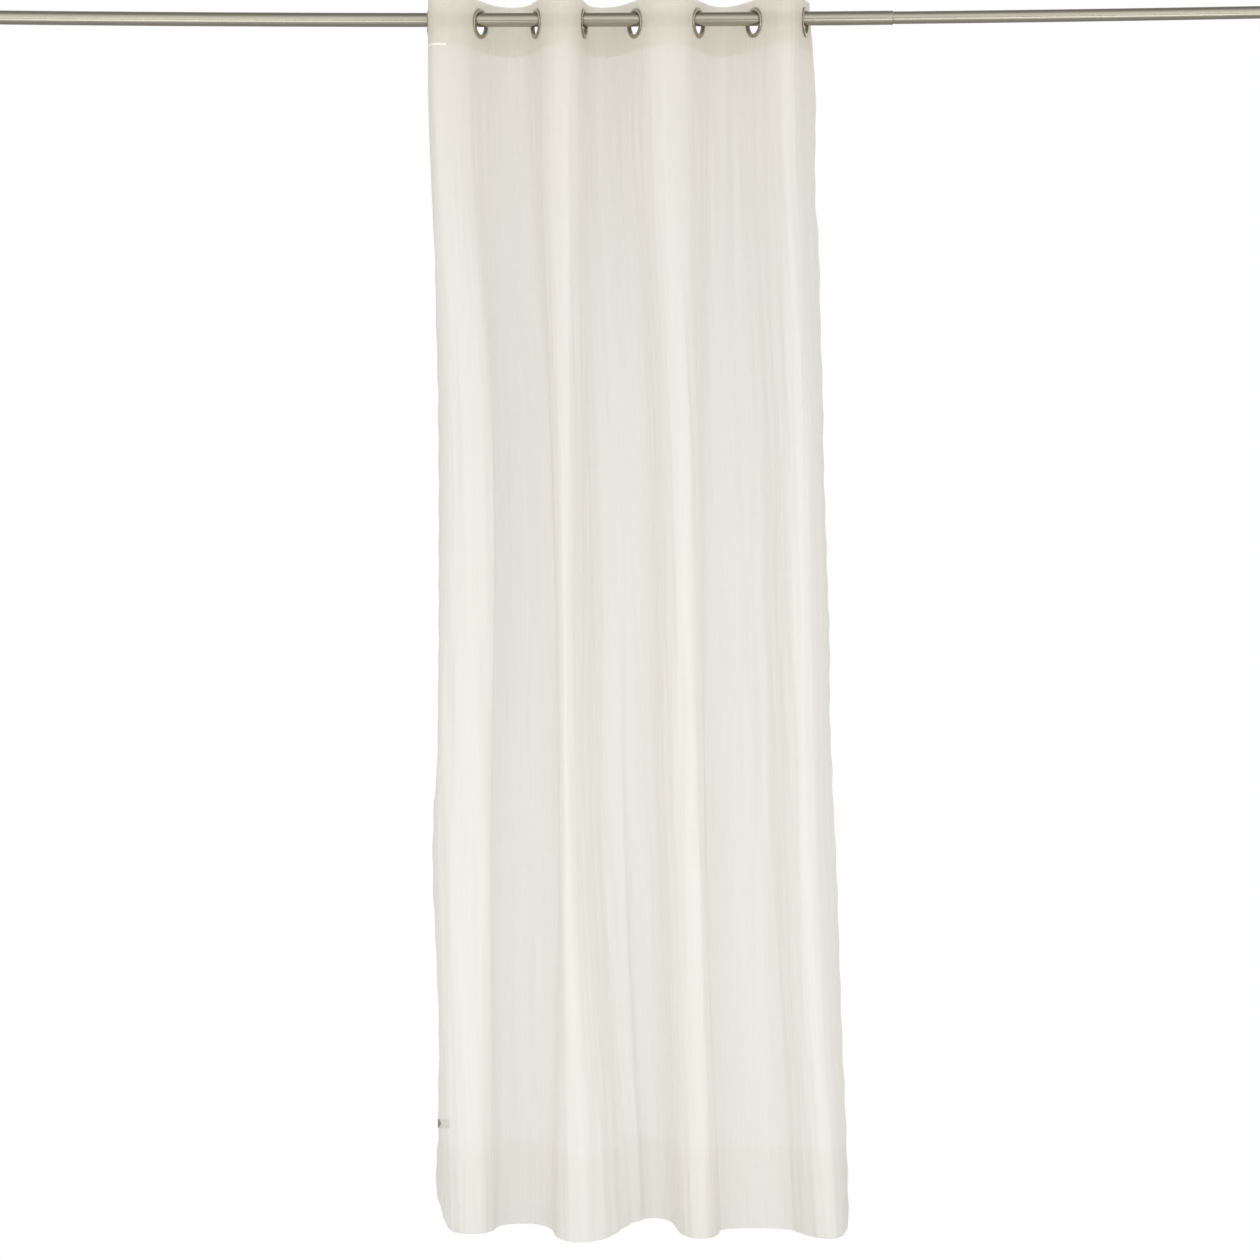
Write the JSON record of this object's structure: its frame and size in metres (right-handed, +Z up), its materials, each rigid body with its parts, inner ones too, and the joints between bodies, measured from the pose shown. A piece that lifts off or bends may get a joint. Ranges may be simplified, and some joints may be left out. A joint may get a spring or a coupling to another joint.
{
  "type": "sheer voile curtain on a telescopic curtain rod",
  "caption": "Sheer ivory voile curtain with a stiffened heading and metal eyelets, hanging in soft uneven waves from a slightly sagging telescopic steel rod.",
  "frame": {"origin": "on the rod's axis, half way between its ends, where brackets hold the rod's line", "axes": "+X along the rod towards the thin tube, +Y behind the curtain, +Z up"},
  "size_m": [2.607, 0.1557, 2.4626],
  "materials": {
    "voile": "sheer plain weave with fine upright slubs",
    "stiff_voile": "stiffened plain weave",
    "eyelet_nickel": "satin nickel plate",
    "rod_nickel": "satin nickel plate",
    "tab_weave": "plain woven tab"
  },
  "bodies": {
    "root": {"voile_panel": "voile", "heading_band": "stiff_voile", "eyelet_1": "eyelet_nickel", "eyelet_2": "eyelet_nickel", "eyelet_3": "eyelet_nickel", "eyelet_4": "eyelet_nickel", "eyelet_5": "eyelet_nickel", "eyelet_6": "eyelet_nickel", "eyelet_7": "eyelet_nickel", "eyelet_8": "eyelet_nickel", "side_tab": "tab_weave", "rod_outer_tube": "rod_nickel", "rod_inner_tube": "rod_nickel", "rod_plug_left": "rod_nickel", "rod_plug_right": "rod_nickel"}
  },
  "joints": []
}
